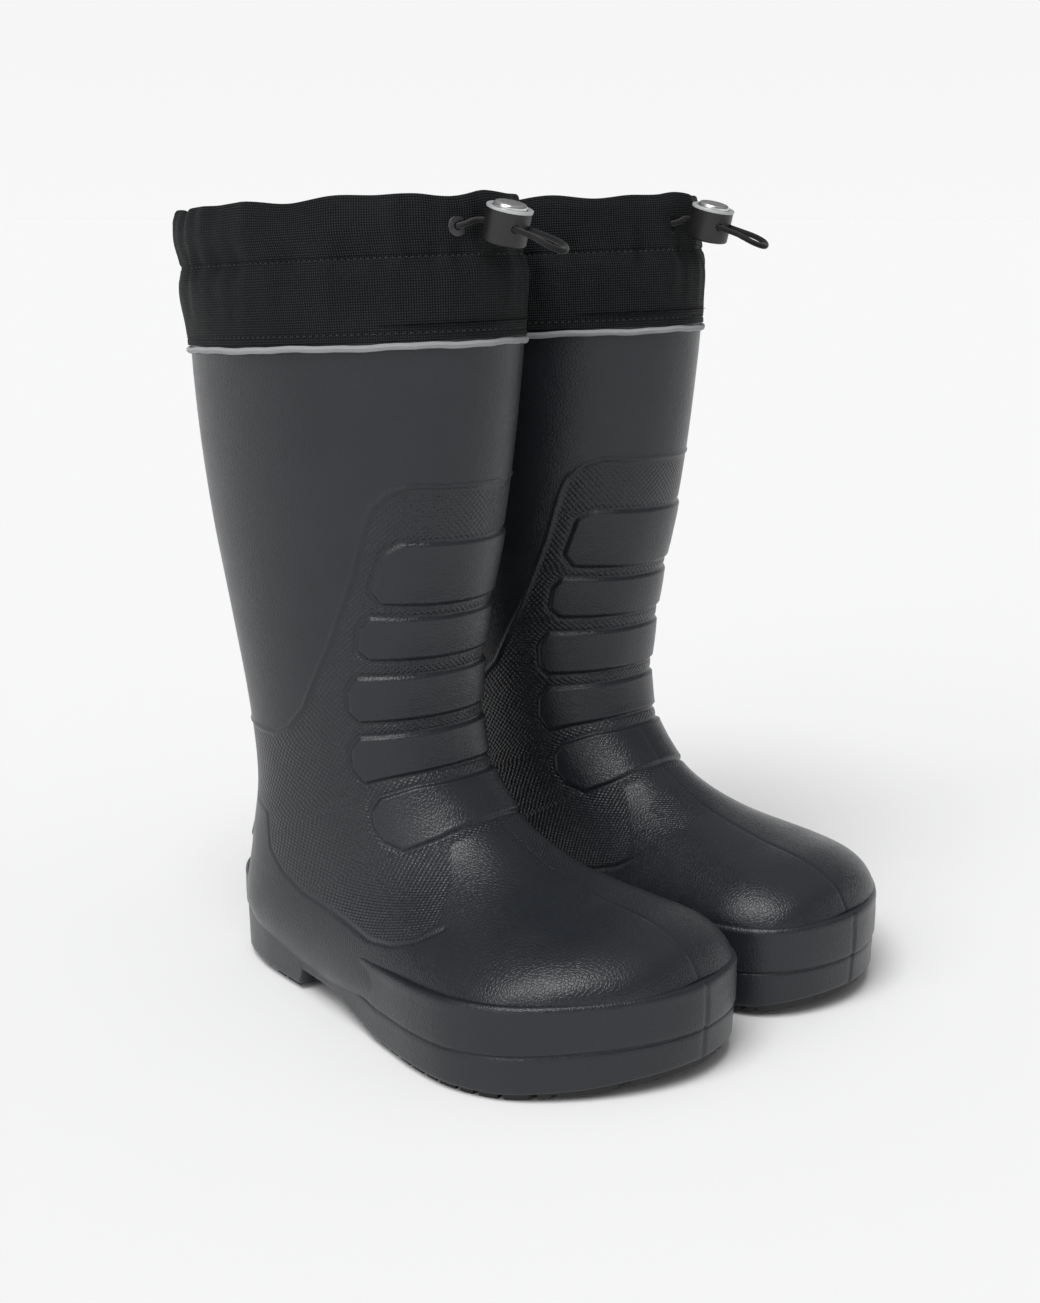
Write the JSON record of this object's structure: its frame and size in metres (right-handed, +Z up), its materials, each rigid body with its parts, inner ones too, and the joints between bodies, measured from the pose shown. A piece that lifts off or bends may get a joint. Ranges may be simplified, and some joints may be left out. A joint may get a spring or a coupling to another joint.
{
  "type": "winter boots",
  "caption": "Pair of tall insulated moulded foam winter boots with black fabric collars, drawcords and sprung cord locks.",
  "frame": {"origin": "on the ground, under the middle of the pair's bounding box", "axes": "+Z up, toes towards -Y, +X from the right boot to the left boot"},
  "size_m": [0.2854, 0.3065, 0.3808],
  "materials": {
    "shell": "moulded foam, fine leather grain, satin",
    "outsole": "moulded black rubber, matt",
    "liner": "felted wool",
    "footbed": "felt",
    "collar_fabric": "coated plain-weave nylon",
    "collar_lining": "soft knit",
    "piping": "reflective woven tape",
    "eyelet_metal": "nickel plate",
    "cord": "braided elastic cord",
    "lock_plastic": "moulded, matt",
    "lock_ring": "bright grey",
    "lock_button": "moulded, satin",
    "spring_steel": "spring wire"
  },
  "bodies": {
    "right_boot": {"right_shell": "shell", "right_forefoot_outsole": "outsole", "right_heel_outsole": "outsole", "right_liner": "liner", "right_footbed": "footbed", "right_collar": "collar_fabric", "right_collar_lining": "collar_lining", "right_piping": "piping", "right_lateral_eyelet": "eyelet_metal", "right_medial_eyelet": "eyelet_metal", "right_lateral_eyelet_washer": "eyelet_metal", "right_medial_eyelet_washer": "eyelet_metal", "right_drawcord_run": "cord", "right_drawcord_loop": "cord"},
    "right_lock": {"right_lock_body": "lock_plastic", "right_lock_bezel": "lock_ring", "right_lock_spring": "spring_steel"},
    "right_button": {"right_lock_button": "lock_button", "right_lock_button_cap": "lock_button"},
    "left_boot": {"left_shell": "shell", "left_forefoot_outsole": "outsole", "left_heel_outsole": "outsole", "left_liner": "liner", "left_footbed": "footbed", "left_collar": "collar_fabric", "left_collar_lining": "collar_lining", "left_piping": "piping", "left_lateral_eyelet": "eyelet_metal", "left_medial_eyelet": "eyelet_metal", "left_lateral_eyelet_washer": "eyelet_metal", "left_medial_eyelet_washer": "eyelet_metal", "left_drawcord_run": "cord", "left_drawcord_loop": "cord"},
    "left_lock": {"left_lock_body": "lock_plastic", "left_lock_bezel": "lock_ring", "left_lock_spring": "spring_steel"},
    "left_button": {"left_lock_button": "lock_button", "left_lock_button_cap": "lock_button"}
  },
  "joints": [
    {"name": "right_lock_slide", "type": "slide", "parent": "right_boot", "child": "right_lock", "axis": [0, -0.9659, -0.2588], "range_m": [0, 0.008]},
    {"name": "right_lock_button_press", "type": "slide", "parent": "right_lock", "child": "right_button", "axis": [0, 0.2588, -0.9659], "range_m": [0, 0.0025], "stiffness_N_per_m": 800, "deforming": ["right_lock_spring"]},
    {"name": "left_lock_slide", "type": "slide", "parent": "left_boot", "child": "left_lock", "axis": [0, -0.9659, -0.2588], "range_m": [0, 0.008]},
    {"name": "left_lock_button_press", "type": "slide", "parent": "left_lock", "child": "left_button", "axis": [0, 0.2588, -0.9659], "range_m": [0, 0.0025], "stiffness_N_per_m": 800, "deforming": ["left_lock_spring"]},
    {"name": "left_boot_set_apart", "type": "slide", "parent": "right_boot", "child": "left_boot", "axis": [1, 0, 0], "range_m": [0, 0.15]}
  ]
}
